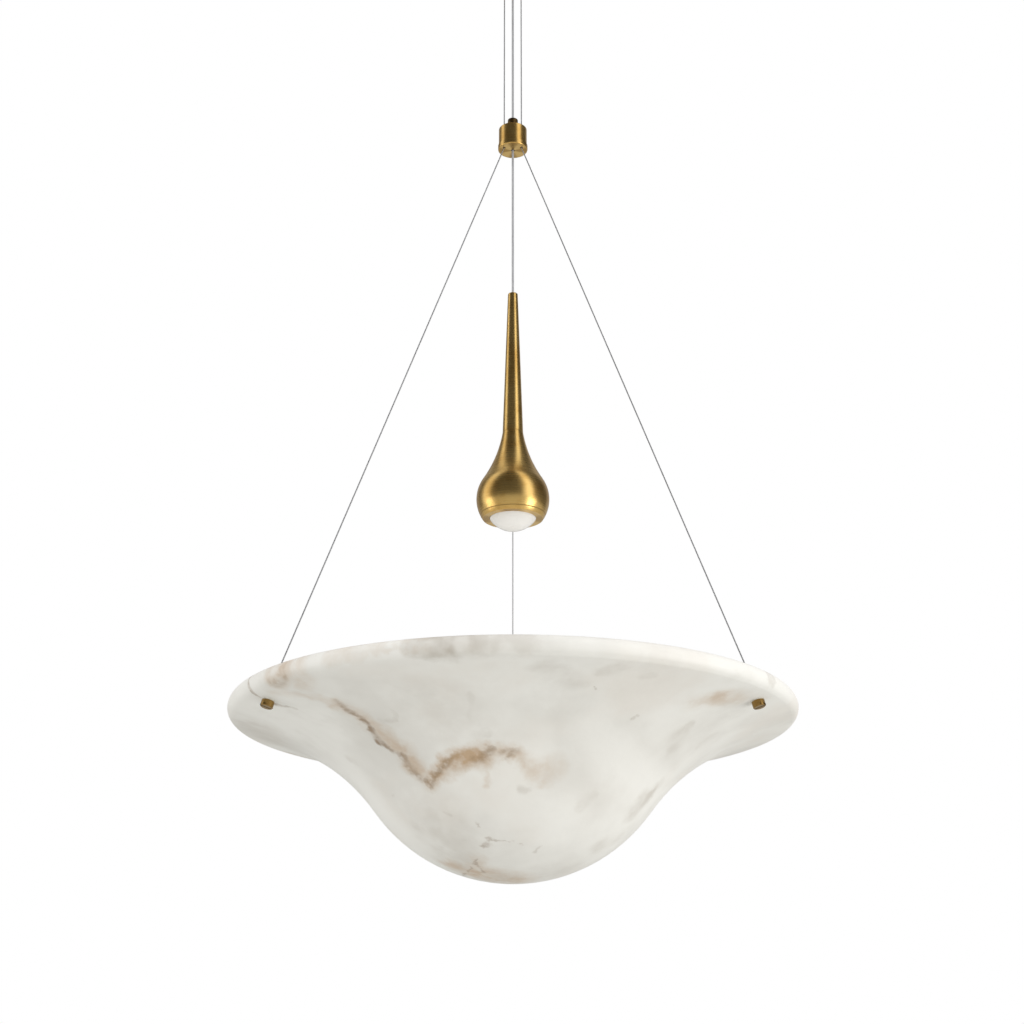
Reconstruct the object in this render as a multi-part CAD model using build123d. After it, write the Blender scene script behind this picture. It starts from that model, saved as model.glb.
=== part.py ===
from build123d import *
from math import atan2, cos, radians, sin, sqrt, tan
import os

# Pendant light: a veined stone bowl on three wires round a brass teardrop spot lamp.
# Millimetres. The origin is the middle of the ceiling face, +Z is up, -Y is the front.

# Ceiling canopy
pan_radius = 60.0
pan_thickness = 2.5
pan_lip = 10.0
pan_edge_radius = 1.5
fixing_spacing_x = 90.0
fixing_spacing_y = 30.0
fixing_hole_radius = 2.6
cover_wall = 1.2
cover_depth = 49.0
cover_top_gap = 1.0
cover_slide_gap = 0.4
cover_edge_radius = 5.0
cover_screw_radius = 2.0
cover_screw_drop = 6.0
thumb_radius = 4.0
thumb_length = 5.0
thumb_chamfer = 0.6
pillar_radius = 4.0
pillar_length = 34.5
pillar_circle = 30.0
pillar_hole_spare = 2.0
carrier_radius = 37.0
carrier_thickness = 3.0
carrier_screw_radius = 2.0
carrier_screw_grip = 8.0
carrier_screw_head = 2.6
small_head = 2.0
small_head_round = 0.4
small_slot_width = 0.5
small_slot_depth = 0.45
grommet_bore = 4.5
grommet_wall = 1.5
grommet_flange = 2.5
grommet_flange_thickness = 2.0
grommet_x = -22.0
grommet_y = 34.0
earth_screw_y = 46.0

# Driver, terminals and leads inside the canopy
driver_length = 50.0
driver_width = 26.0
driver_height = 20.0
driver_face_y = -22.0
driver_corner_radius = 3.0
driver_edge_radius = 1.5
terminal_length = 26.0
terminal_width = 12.0
terminal_height = 13.0
terminal_x = 27.0
terminal_y = 32.0
terminal_ways = 3
terminal_well_radius = 2.2
terminal_well_depth = 3.0
terminal_groove_width = 1.2
terminal_groove_depth = 1.5
lead_radius = 0.8
lead_heights = (-7.0, -12.0)
lamp_lead_height = -15.0
elbow_share = 0.45

# Wires, their ball ends and the lamp's cable
wire_radius = 0.75
wire_circle = 12.0
wire_bore = 1.0
wire_sides = ("back", "left", "right")
back_azimuth = 90.0
wire_tail = 4.0
ball_radius = 2.2
ball_seat_gap = 0.05
ball_seat_rise = 1.2
cable_radius = 1.35
upper_run = 227.9

# Gaps at the joints
swing_gap = 0.95
cable_swing_gap = 0.45
running_gap = 0.05
seat_gap = 0.05

# Wire grippers and the cable's grip under the carrier plate
gripper_radius = 5.0
gripper_length = 22.0
gripper_thread_radius = 4.0
gripper_thread_length = 10.0
gripper_nut_flats = 12.0
gripper_nut_height = 4.5
gripper_shelf = 4.0
gripper_skirt = 3.0
gripper_neck_radius = 4.4
gripper_chamfer = 0.5
plunger_radius = 3.0
plunger_collar_radius = 3.65
plunger_collar_height = 3.0
plunger_chamber = 8.0
plunger_nose = 7.0
plunger_edge_radius = 0.4
plunger_flare_radius = 1.9
plunger_flare_height = 2.5
jaw_angle = 8.0
jaw_land = 1.0
jaw_rise = 1.5
jaw_ball_count = 3
spring_radius = 2.9
spring_wire_radius = 0.25
spring_turns = 4
cord_grip_radius = 4.0
cord_grip_length = 16.0
cord_grip_thread = 3.0
cord_grip_thread_end = 2.0
cord_grip_edge_radius = 0.8
cord_grip_nut_flats = 9.0
cord_grip_nut_height = 4.0
grip_screw_radius = 1.5
grip_screw_rise = 3.0

# Hub
hub_radius = 16.9
hub_body_height = 23.0
hub_roof = 7.0
hub_cavity_radius = 14.5
hub_edge_radius = 0.8
hub_cap_radius = 17.8
hub_cap_thickness = 6.1
hub_cap_edge = 1.5
hub_cap_spigot = 5.0
gland_radius = 6.2
gland_height = 14.0
gland_edge_radius = 1.2
gland_thread_radius = 4.0
gland_thread_end = 4.0
gland_nut_flats = 13.0
gland_nut_height = 3.5
gland_seal_radius = 3.5
gland_seal_depth = 9.0
gland_seal_sink = 0.5

# Teardrop spot lamp: drops are below the middle of its bulb
drop_cable_run = 194.3
neck_length = 176.2
neck_top_radius = 5.7
neck_foot_radius = 11.6
neck_wall = 1.5
neck_cap = 6.0
neck_base = 8.0
neck_edge_radius = 1.5
clamp_radius = 3.6
clamp_height = 9.0
nipple_radius = 5.0
nipple_bore = 3.0
nipple_length = 18.0
bulb_radius = 40.7
bulb_height = 80.6
bulb_wall = 1.5
bulb_boss = 9.0
flare_angle = 9.2
seam_drop = 18.7
seam_chamfer = 0.4
bezel_drop = 23.1
bezel_ledge = 1.5
bezel_opening = 26.0
bezel_bore = 31.0
bezel_edge_radius = 0.6
thread_radius = 34.3
shoulder_radius = 32.5
shoulder_drop = 4.0
shoulder_height = 2.5
heatsink_plate = 5.0
heatsink_stem_radius = 12.0
fin_radius = 30.0
fin_height = 20.0
fin_thickness = 1.6
fin_count = 12
heatsink_cable_gap = 1.0
board_radius = 20.0
board_thickness = 1.6
board_screw_circle = 15.5
board_screw_azimuths = (0.0, 180.0)
board_screw_radius = 1.2
board_screw_head = 1.2
board_screw_roof = 0.5
board_screw_tip_gap = 0.45
chip_radius = 6.5
chip_thickness = 1.1
reflector_wall = 1.0
reflector_throat_gap = 2.3
reflector_foot_width = 1.4
reflector_rim_width = 3.5
lens_bulge = 13.4
lens_wall = 2.5
lens_flange = 2.0
lens_gap = 0.3
lens_gasket = 0.9
lens_gasket_width = 3.5

# Bowl
bowl_drop = 699.0
bowl_radius = 300.0
bowl_wall = 20.0
bowl_depth = 172.6
belly_radius = 180.0
brim_length = 28.8
brim_angle = 15.3

# Wire anchors, screwed through the brim
anchor_inset = 16.2
bush_radius = 4.5
screw_radius = 2.5
screw_gap = 0.15
head_radius = 6.5
head_height = 6.5
head_chamfer = 0.6
slot_width = 1.6
slot_depth = 2.2
washer_thickness = 1.0
screw_washer_radius = 6.2
anchor_washer_radius = 8.0
anchor_radius = 6.0
anchor_height = 13.0
anchor_roof = 2.8
anchor_bore = 1.5
anchor_edge_radius = 1.0

# Heights from the ceiling down, worked out from the sizes above
cover_foot = -cover_top_gap - cover_depth
cover_screw_height = -cover_screw_drop
carrier_top = -pan_thickness - pillar_length
carrier_foot = carrier_top - carrier_thickness
gripper_foot = carrier_foot - gripper_length
gripper_shelf_top = gripper_foot + gripper_shelf
plunger_collar_foot = gripper_shelf_top + running_gap
plunger_collar_top = plunger_collar_foot + plunger_collar_height
chamber_top = gripper_shelf_top + plunger_chamber
jaw_foot = gripper_foot + jaw_land
jaw_ball_height = jaw_foot + jaw_rise
gripper_thread_top = carrier_foot + gripper_thread_length
mouth = gripper_foot - plunger_nose
cord_grip_foot = carrier_foot - cord_grip_length
hub_top = mouth - upper_run
hub_ceiling = hub_top - hub_roof
cap_top = hub_top - hub_body_height
cap_foot = cap_top - hub_cap_thickness
gland_top = hub_top + gland_height
neck_top = cap_foot - drop_cable_run
neck_foot = neck_top - neck_length
bulb_centre = neck_foot - bulb_height
heatsink_foot = -shoulder_drop - heatsink_plate
board_foot = heatsink_foot - board_thickness
rim_height = cap_foot - bowl_drop
slope = radians(brim_angle)

azimuth_step = 360 / len(wire_sides)
azimuths = [back_azimuth + number * azimuth_step for number in range(len(wire_sides))]
cover_screw_azimuths = [azimuth - azimuth_step / 2 for azimuth in azimuths]

os.makedirs("parts", exist_ok=True)


def rod(radius, low, high):
    """An upright cylinder on the Z axis between two heights."""
    foot = (Align.CENTER, Align.CENTER, Align.MIN)
    return Pos(0, 0, low) * Cylinder(radius, high - low, align=foot)


def tube(radius, bore, low, high):
    return rod(radius, low, high) - rod(bore, low - 1, high + 1)


def cross_rod(radius, near, far, height):
    """A cylinder along +X at a height, between two distances from the Z axis."""
    return Pos(0, 0, height) * Rot(0, 90, 0) * rod(radius, near, far)


def hex_nut(flats, bore, low, high):
    """A nut with two of its flats square to the X axis."""
    outline = RegularPolygon(flats / 2, 6, major_radius=False, rotation=30)
    return Pos(0, 0, low) * extrude(outline, high - low) - rod(bore, low - 1, high + 1)


def turned(edges, height=0.0):
    """A solid turned about Z from a closed outline of (radius, height) edges."""
    return Pos(0, 0, height) * revolve(Plane.XZ * make_face(edges), axis=Axis.Z)


def turned_polygon(points, height=0.0):
    return turned(Polyline(*points, close=True), height)


def ball(centre, radius):
    return Pos(*centre) * Sphere(radius)


def straight(start, end, radius):
    """A round bar from one point to another."""
    run = Vector(*end) - Vector(*start)
    foot = (Align.CENTER, Align.CENTER, Align.MIN)
    return Plane(origin=start, z_dir=run).location * Cylinder(radius, run.length, align=foot)


def point_along(start, end, distance):
    """The point at a distance from start, on the line towards end."""
    step = (Vector(*end) - Vector(*start)).normalized() * distance
    return tuple(Vector(*start) + step)


def place_at(circle, azimuth):
    """A place on a circle round the Z axis, turned to face along its own radius."""
    return Rot(0, 0, azimuth) * Pos(circle, 0, 0)


def foot_edges(shape):
    return shape.edges().group_by(Axis.Z)[0]


def top_edges(shape):
    return shape.edges().group_by(Axis.Z)[-1]


def group(shapes):
    """Several separate solids in one node."""
    return Compound(children=[solid for shape in shapes for solid in shape.solids()])


def save(node, shape):
    export_step(shape, f"parts/{node}.step")


# Canopy: a pan on the ceiling, pillars, a carrier plate and a cup-shaped cover


def ceiling_pan():
    """A pressed steel pan with four ceiling holes and the mains entry."""
    lip_foot = -pan_thickness - pan_lip
    shape = rod(pan_radius, lip_foot, 0)
    shape = fillet(top_edges(shape), pan_edge_radius)
    shape -= rod(pan_radius - pan_thickness, lip_foot - 1, -pan_thickness)
    for side_x in (-1, 1):
        for side_y in (-1, 1):
            place = Pos(side_x * fixing_spacing_x / 2, side_y * fixing_spacing_y / 2, 0)
            shape -= place * rod(fixing_hole_radius, -pan_thickness - 1, 1)
    entry = rod(grommet_bore + grommet_wall, -pan_thickness - 1, 1)
    earth_hole = rod(carrier_screw_radius, -pan_thickness - 1, 1)
    return shape - Pos(grommet_x, grommet_y, 0) * entry - Pos(0, earth_screw_y, 0) * earth_hole


def mains_grommet():
    flange_foot = -pan_thickness - grommet_flange_thickness
    shape = rod(grommet_bore + grommet_wall, flange_foot, 0)
    shape += rod(grommet_bore + grommet_wall + grommet_flange, flange_foot, -pan_thickness)
    return Pos(grommet_x, grommet_y, 0) * (shape - rod(grommet_bore, flange_foot - 1, 1))


def pillar():
    shape = rod(pillar_radius, carrier_top, -pan_thickness)
    hole_top = carrier_top + carrier_screw_grip + pillar_hole_spare
    return shape - rod(carrier_screw_radius + running_gap, carrier_top - 1, hole_top)


def carrier_plate():
    shape = rod(carrier_radius, carrier_foot, carrier_top)
    shape -= rod(cord_grip_thread + running_gap, carrier_foot - 1, carrier_top + 1)
    gripper_hole = rod(gripper_thread_radius + running_gap, carrier_foot - 1, carrier_top + 1)
    screw_hole = rod(carrier_screw_radius + running_gap, carrier_foot - 1, carrier_top + 1)
    for azimuth in azimuths:
        shape -= place_at(wire_circle, azimuth) * gripper_hole
        shape -= place_at(pillar_circle, azimuth) * screw_hole
    return shape


def slotted_screw(radius, head_foot, head_top, shank_top):
    """A small pan-head screw standing on its head, with a slot across it."""
    head_radius = small_head * radius
    head_height = head_top - head_foot
    head = rod(head_radius, head_foot, head_top)
    head = fillet(foot_edges(head), small_head_round * head_height)
    slot = Box(3 * head_radius, small_slot_width * radius, 2 * small_slot_depth * head_height)
    return head - Pos(0, 0, head_foot) * slot + rod(radius, head_top, shank_top)


def canopy_cover():
    """A spun cup that hides the pan and slides down the wires once its screws are loose."""
    inner = pan_radius + cover_slide_gap
    outer = inner + cover_wall
    shape = rod(outer, cover_foot, -cover_top_gap)
    shape = fillet(foot_edges(shape), cover_edge_radius)
    core = rod(inner, cover_foot + cover_wall, 1)
    shape -= fillet(foot_edges(core), cover_edge_radius - cover_wall)
    floor_top = cover_foot + cover_wall
    shape -= rod(cord_grip_radius + cover_slide_gap, cover_foot - 1, floor_top + 1)
    gripper_hole = rod(gripper_radius + cover_slide_gap, cover_foot - 1, floor_top + 1)
    for azimuth in azimuths:
        shape -= place_at(wire_circle, azimuth) * gripper_hole
    side_hole = cross_rod(cover_screw_radius, inner - 1, outer + 1, cover_screw_height)
    for azimuth in cover_screw_azimuths:
        shape -= Rot(0, 0, azimuth) * side_hole
    return shape


def cover_screw():
    """A thumb screw in the cover's side, whose tip bears on the pan's lip."""
    face = pan_radius + cover_slide_gap + cover_wall
    thumb = rod(thumb_radius, face, face + thumb_length)
    thumb = chamfer(top_edges(thumb), thumb_chamfer)
    shank = rod(cover_screw_radius, pan_radius + seat_gap, face)
    return Pos(0, 0, cover_screw_height) * Rot(0, 90, 0) * (shank + thumb)


save("ceiling_pan", ceiling_pan())
save("mains_grommet", mains_grommet())
save("pillars", group([place_at(pillar_circle, a) * pillar() for a in azimuths]))
save("carrier_plate", carrier_plate())
carrier_screw = slotted_screw(
    carrier_screw_radius,
    carrier_foot - carrier_screw_head,
    carrier_foot,
    carrier_top + carrier_screw_grip,
)
save("carrier_screws", group([place_at(pillar_circle, a) * carrier_screw for a in azimuths]))
save("canopy_cover", canopy_cover())
save("cover_screws", group([Rot(0, 0, a) * cover_screw() for a in cover_screw_azimuths]))
earth_head = -pan_thickness - carrier_screw_head
earth_screw = slotted_screw(carrier_screw_radius, earth_head, -pan_thickness, -seat_gap)
save("earth_screw", Pos(0, earth_screw_y, 0) * earth_screw)


# Driver, terminals and the leads between them


def led_driver():
    shape = Box(driver_length, driver_width, driver_height)
    shape = fillet(shape.edges().filter_by(Axis.Z), driver_corner_radius)
    shape = fillet(foot_edges(shape), driver_edge_radius)
    middle_y = driver_face_y - driver_width / 2
    return Pos(0, middle_y, -pan_thickness - driver_height / 2) * shape


def terminal_block():
    """A block with a screw well under each terminal, and grooves between them."""
    shape = Box(terminal_length, terminal_width, terminal_height)
    pitch = terminal_length / terminal_ways
    well = Cylinder(terminal_well_radius, 2 * terminal_well_depth)
    groove = Box(terminal_groove_width, terminal_width + 1, 2 * terminal_groove_depth)
    for number in range(terminal_ways):
        place = (number + 0.5) * pitch - terminal_length / 2
        shape -= Pos(place, 0, -terminal_height / 2) * well
        if number > 0:
            shape -= Pos(place - pitch / 2, 0, -terminal_height / 2) * groove
    return Pos(terminal_x, terminal_y, -pan_thickness - terminal_height / 2) * shape


def lead(points, radius, elbow_radius):
    """A round lead along straight runs and tangent arcs, checked by its volume."""
    path = FilletPolyline(*points, radius=elbow_radius)
    shape = sweep(Plane(path ^ 0) * Circle(radius), path=path)
    section = Circle(radius).area
    print("lead bend radius", round(elbow_radius, 2), "length", round(path.length, 1))
    print("volume over section times length", round(shape.volume / section / path.length, 4))
    return shape


def driver_lead(height):
    """One thin lead from the driver's end to the last of the terminals."""
    middle_y = driver_face_y - driver_width / 2
    last_x = terminal_x + (terminal_length - terminal_length / terminal_ways) / 2
    start = (driver_length / 2, middle_y, height)
    end = (last_x, terminal_y - terminal_width / 2, height)
    elbow_radius = elbow_share * (last_x - driver_length / 2)
    return lead([start, (last_x, middle_y, height), end], lead_radius, elbow_radius)


def lamp_lead():
    """The lamp's cable above its grip, up and over to the driver."""
    points = [(0, 0, mouth), (0, 0, lamp_lead_height), (0, driver_face_y, lamp_lead_height)]
    return lead(points, cable_radius, elbow_share * abs(driver_face_y))


save("led_driver", led_driver())
save("terminal_block", terminal_block())
save("driver_leads", group([driver_lead(height) for height in lead_heights]))
save("lamp_lead", lamp_lead())


# Wire grippers: a barrel, its screwed end and a sprung plunger that frees the wire


def gripper_barrel():
    shape = rod(gripper_radius, gripper_shelf_top + gripper_skirt, carrier_foot)
    shape += rod(gripper_neck_radius, gripper_shelf_top, gripper_shelf_top + gripper_skirt)
    shape += rod(gripper_thread_radius, carrier_foot, gripper_thread_top)
    shape -= rod(plunger_collar_radius + running_gap, gripper_shelf_top - 1, chamber_top)
    return shape - rod(wire_bore, chamber_top - 1, gripper_thread_top + 1)


def jaw_radius(height):
    """The cone that narrows downwards, so that a loaded wire wedges the balls tighter."""
    return plunger_radius + running_gap + (height - jaw_foot) * tan(radians(jaw_angle))


# A ball touches the wire and the cone, with a running gap to each
jaw_room = jaw_radius(jaw_ball_height) - wire_radius
jaw_ball_radius = jaw_room / (1 + 1 / cos(radians(jaw_angle))) - running_gap
jaw_ball_circle = wire_radius + running_gap + jaw_ball_radius
jaw_ball_azimuths = [number * 360 / jaw_ball_count for number in range(jaw_ball_count)]


def gripper_end():
    skirt_top = gripper_shelf_top + gripper_skirt
    shape = rod(gripper_radius, gripper_foot, skirt_top)
    shape = chamfer(foot_edges(shape), gripper_chamfer)
    shape -= rod(gripper_neck_radius + running_gap, gripper_shelf_top, skirt_top + 1)
    shape -= rod(plunger_radius + running_gap, gripper_foot - 1, gripper_shelf_top + 1)
    cone = [
        (0, jaw_foot),
        (jaw_radius(jaw_foot), jaw_foot),
        (jaw_radius(gripper_shelf_top), gripper_shelf_top),
        (0, gripper_shelf_top),
    ]
    return shape - turned_polygon(cone)


def plunger():
    """A nozzle with a collar, a flared mouth, and a window for each ball."""
    shape = rod(plunger_radius, mouth, plunger_collar_foot)
    shape = fillet(foot_edges(shape), plunger_edge_radius)
    shape += rod(plunger_collar_radius, plunger_collar_foot, plunger_collar_top)
    shape -= rod(wire_bore, mouth - 1, plunger_collar_top + 1)
    window = cross_rod(jaw_ball_radius + running_gap, 0, plunger_radius + 1, jaw_ball_height)
    for azimuth in jaw_ball_azimuths:
        shape -= Rot(0, 0, azimuth) * window
    flare = [
        (0, -1),
        (plunger_flare_radius, -1),
        (plunger_flare_radius, 0),
        (wire_bore, plunger_flare_height),
        (0, plunger_flare_height),
    ]
    return shape - turned_polygon(flare, mouth)


def locking_balls():
    """The balls in the plunger's windows, between the wire and the cone."""
    place = (jaw_ball_circle, 0, jaw_ball_height)
    return group([Rot(0, 0, azimuth) * ball(place, jaw_ball_radius) for azimuth in jaw_ball_azimuths])


def gripper_spring():
    """A coil spring with plain ends, between the collar and the chamber's roof."""
    foot = plunger_collar_top + seat_gap + spring_wire_radius
    height = chamber_top - seat_gap - spring_wire_radius - foot
    coil = Helix(height / spring_turns, height, spring_radius)
    shape = sweep(Plane(coil ^ 0) * Circle(spring_wire_radius), path=coil, is_frenet=True)
    return Pos(0, 0, foot) * shape


def cord_grip():
    """A threaded barrel that clamps the lamp's cable with a side screw."""
    thread_top = carrier_top + cord_grip_nut_height + cord_grip_thread_end
    shape = rod(cord_grip_radius, cord_grip_foot, carrier_foot)
    shape = fillet(foot_edges(shape), cord_grip_edge_radius)
    shape += rod(cord_grip_thread, carrier_foot, thread_top)
    shape -= rod(cable_radius + running_gap, cord_grip_foot - 1, thread_top + 1)
    height = cord_grip_foot + grip_screw_rise
    return shape - cross_rod(grip_screw_radius + running_gap, 0, cord_grip_radius + 1, height)


gripper_places = [place_at(wire_circle, a) for a in azimuths]
save("wire_grippers", group([place * gripper_barrel() for place in gripper_places]))
save("gripper_ends", group([place * gripper_end() for place in gripper_places]))
gripper_nut = hex_nut(
    gripper_nut_flats,
    gripper_thread_radius + running_gap,
    carrier_top,
    carrier_top + gripper_nut_height,
)
save("gripper_nuts", group([place * gripper_nut for place in gripper_places]))
for side, azimuth in zip(wire_sides, azimuths):
    save(f"plunger_{side}", place_at(wire_circle, azimuth) * plunger())
    save(f"locking_balls_{side}", place_at(wire_circle, azimuth) * locking_balls())
save("gripper_springs", group([place * gripper_spring() for place in gripper_places]))
tail = rod(wire_radius, mouth + swing_gap, gripper_thread_top + wire_tail)
save("wire_tails", group([place * tail for place in gripper_places]))
save("cord_grip", cord_grip())
cord_grip_nut = hex_nut(
    cord_grip_nut_flats,
    cord_grip_thread + running_gap,
    carrier_top,
    carrier_top + cord_grip_nut_height,
)
save("cord_grip_nut", cord_grip_nut)
grip_screw_height = cord_grip_foot + grip_screw_rise
grip_screw_tip = cable_radius + running_gap
save("grip_screw", cross_rod(grip_screw_radius, grip_screw_tip, cord_grip_radius, grip_screw_height))


# Bowl: the outline is a belly arc, a knee arc, a straight brim and a full round rim.
# The knee's arc leaves the brim where its straight stretch ends, and touches the belly's circle.
belly_centre = Vector(0, belly_radius - bowl_depth)
brim_along = Vector(cos(slope), sin(slope))
brim_down = Vector(sin(slope), -cos(slope))
rim_radius = bowl_wall / 2
rim_centre = Vector(bowl_radius - rim_radius, 0)
brim_under = rim_centre + brim_down * rim_radius
knee_end = brim_under - brim_along * brim_length
from_belly = knee_end - belly_centre
knee_gained = from_belly.dot(from_belly) - belly_radius**2
knee_radius = knee_gained / (2 * (belly_radius - from_belly.dot(brim_down)))
knee_centre = knee_end + brim_down * knee_radius
knee_start = atan2(knee_centre.X, belly_centre.Y - knee_centre.Y)


def flat(vector):
    return (vector.X, vector.Y)


def belly_point(radius, angle):
    return flat(belly_centre + Vector(sin(angle), -cos(angle)) * radius)


def knee_point(radius, angle):
    return flat(knee_centre + Vector(-sin(angle), cos(angle)) * radius)


def arc(point, radius, first, last):
    """The arc between two angles of the circle that point() walks round."""
    return ThreePointArc(*[point(radius, a) for a in (first, (first + last) / 2, last)])


def anchor_seat(azimuth):
    """The place of an anchor: height 0 is the brim's underside, and up is square to it."""
    under = brim_under - brim_along * anchor_inset
    plane = Plane(
        origin=(under.X, 0, under.Y + rim_height),
        x_dir=(cos(slope), 0, sin(slope)),
        z_dir=(-sin(slope), 0, cos(slope)),
    )
    return Rot(0, 0, azimuth) * plane.location


def alabaster_bowl():
    rim_over = flat(rim_centre - brim_down * rim_radius)
    rim_edge = flat(rim_centre + brim_along * rim_radius)
    inner_belly = belly_radius - bowl_wall
    inner_knee = knee_radius + bowl_wall
    outline = [
        arc(belly_point, belly_radius, 0, knee_start),
        arc(knee_point, knee_radius, knee_start, slope),
        Line(knee_point(knee_radius, slope), flat(brim_under)),
        ThreePointArc(flat(brim_under), rim_edge, rim_over),
        Line(rim_over, knee_point(inner_knee, slope)),
        arc(knee_point, inner_knee, slope, knee_start),
        arc(belly_point, inner_belly, knee_start, 0),
        Line(belly_point(inner_belly, 0), belly_point(belly_radius, 0)),
    ]
    shape = turned(outline, rim_height)
    hole = rod(bush_radius + seat_gap, -bowl_wall, 2 * bowl_wall)
    for azimuth in azimuths:
        shape -= anchor_seat(azimuth) * hole
    return shape


# Anchors: a slotted screw through a bush in the brim, and a nut that holds the ball end
anchor_foot = bowl_wall + seat_gap + washer_thickness
anchor_bore_top = anchor_foot + anchor_height - anchor_roof
anchor_ball_height = anchor_bore_top - ball_radius - ball_seat_gap


def bowl_screw():
    """A slotted cheese-head screw, pushed up through the brim."""
    head_top = -seat_gap - washer_thickness
    head_foot = head_top - head_height
    head = rod(head_radius, head_foot, head_top)
    head = chamfer(foot_edges(head), head_chamfer)
    slot = Pos(0, 0, head_foot) * Box(3 * head_radius, slot_width, 2 * slot_depth)
    return head - slot + rod(screw_radius, head_top, anchor_ball_height - ball_radius - seat_gap)


def wire_anchor():
    """A round nut on the screw, with the wire's ball end caught under its roof."""
    top = anchor_foot + anchor_height
    shape = rod(anchor_radius, anchor_foot, top)
    shape = fillet(top_edges(shape), anchor_edge_radius)
    shape -= rod(screw_radius + running_gap, anchor_foot - 1, anchor_bore_top)
    return shape - rod(anchor_bore, anchor_bore_top - 1, top + 1)


def anchors(shape):
    return group([anchor_seat(azimuth) * shape for azimuth in azimuths])


save("alabaster_bowl", alabaster_bowl())
screw_bore = screw_radius + screw_gap
save("bowl_bushes", anchors(tube(bush_radius, screw_bore, 0, bowl_wall)))
screw_washer = tube(screw_washer_radius, screw_bore, -seat_gap - washer_thickness, -seat_gap)
save("screw_washers", anchors(screw_washer))
anchor_washer = tube(anchor_washer_radius, screw_bore, bowl_wall + seat_gap, anchor_foot)
save("anchor_washers", anchors(anchor_washer))
save("bowl_screws", anchors(bowl_screw()))
save("wire_anchors", anchors(wire_anchor()))


# Wires, in the plane of azimuth 0: straight down to the hub, then out to the brim
anchor_ball = tuple((anchor_seat(0) * Pos(0, 0, anchor_ball_height)).position)
hub_exit = (wire_circle, 0, cap_foot)
wire_tilt = atan2(anchor_ball[0] - wire_circle, cap_foot - anchor_ball[2])
hub_lower_ball = point_along(
    hub_exit,
    anchor_ball,
    -(hub_cap_thickness + hub_cap_spigot + ball_seat_rise) / cos(wire_tilt),
)
hub_upper_ball = (wire_circle, 0, hub_ceiling - ball_seat_rise)


def upper_wire():
    wire = straight((wire_circle, 0, mouth), hub_upper_ball, wire_radius)
    return wire - ball(hub_upper_ball, ball_radius)


def lower_wire():
    start = point_along(hub_lower_ball, anchor_ball, ball_radius + swing_gap)
    return straight(start, anchor_ball, wire_radius) - ball(anchor_ball, ball_radius)


for side, azimuth in zip(wire_sides, azimuths):
    save(f"upper_wire_{side}", Rot(0, 0, azimuth) * upper_wire())
    save(f"lower_wire_{side}", Rot(0, 0, azimuth) * lower_wire())
hub_balls = [ball(hub_upper_ball, ball_radius), ball(hub_lower_ball, ball_radius)]
save("hub_ball_ends", group([Rot(0, 0, a) * end for end in hub_balls for a in azimuths]))
anchor_end = ball(anchor_ball, ball_radius)
save("anchor_ball_ends", group([Rot(0, 0, a) * anchor_end for a in azimuths]))


# Hub: a hollow body, a cap drilled along the lower wires, and the cable's gland


def hub_body():
    shape = rod(hub_radius, cap_top, hub_top)
    shape = fillet(top_edges(shape), hub_edge_radius)
    shape -= rod(hub_cavity_radius, cap_top - 1, hub_ceiling)
    shape -= rod(gland_thread_radius + running_gap, hub_ceiling - 1, hub_top + 1)
    hole = Pos(wire_circle, 0, 0) * rod(wire_bore, hub_ceiling - 1, hub_top + 1)
    socket = ball(hub_upper_ball, ball_radius + ball_seat_gap)
    for azimuth in azimuths:
        shape -= Rot(0, 0, azimuth) * hole
        shape -= Rot(0, 0, azimuth) * socket
    return shape


def hub_cap():
    spigot_top = cap_top + hub_cap_spigot
    shape = rod(hub_cap_radius, cap_foot, cap_top)
    shape = fillet(foot_edges(shape), hub_cap_edge)
    shape += rod(hub_cavity_radius - running_gap, cap_top, spigot_top)
    shape -= rod(cable_radius + swing_gap, cap_foot - 1, spigot_top + 1)
    below = point_along(hub_exit, anchor_ball, hub_cap_thickness)
    hole = straight(hub_lower_ball, below, wire_radius + swing_gap)
    socket = ball(hub_lower_ball, ball_radius + ball_seat_gap)
    for azimuth in azimuths:
        shape -= Rot(0, 0, azimuth) * hole
        shape -= Rot(0, 0, azimuth) * socket
    return shape


def hub_gland():
    thread_foot = hub_ceiling - gland_thread_end
    shape = rod(gland_radius, hub_top, gland_top)
    shape = fillet(top_edges(shape), gland_edge_radius)
    shape += rod(gland_thread_radius, thread_foot, hub_top)
    shape -= rod(cable_radius + running_gap, thread_foot - 1, gland_top + 1)
    return shape - rod(gland_seal_radius, gland_top - gland_seal_depth, gland_top + 1)


save("hub_body", hub_body())
save("hub_cap", hub_cap())
save("hub_gland", hub_gland())
gland_nut_bore = gland_thread_radius + running_gap
gland_nut_foot = hub_ceiling - gland_nut_height
save("gland_nut", hex_nut(gland_nut_flats, gland_nut_bore, gland_nut_foot, hub_ceiling))
seal_foot = gland_top - gland_seal_depth
save("gland_seal", tube(gland_seal_radius, cable_radius, seal_foot, gland_top - gland_seal_sink))
save("upper_cable", rod(cable_radius, cap_foot, mouth - cable_swing_gap))


# Teardrop: an arc flares the neck into the bulb. Heights are from the bulb's centre


def flare_radius():
    """The radius of the arc that leaves the neck at its angle and meets the bulb smoothly."""
    angle = radians(flare_angle)
    across = neck_foot_radius * cos(angle) + bulb_height * sin(angle)
    gained = neck_foot_radius**2 + bulb_height**2 - bulb_radius**2
    return gained / (2 * (bulb_radius - across))


flare = flare_radius()
flare_centre = Vector(
    neck_foot_radius + flare * cos(radians(flare_angle)),
    bulb_height + flare * sin(radians(flare_angle)),
)
flare_end = atan2(flare_centre.Y, flare_centre.X)


def bulb_point(radius, angle):
    return (radius * cos(angle), radius * sin(angle))


def flare_point(radius, angle):
    return flat(flare_centre - Vector(cos(angle), sin(angle)) * radius)


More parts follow.
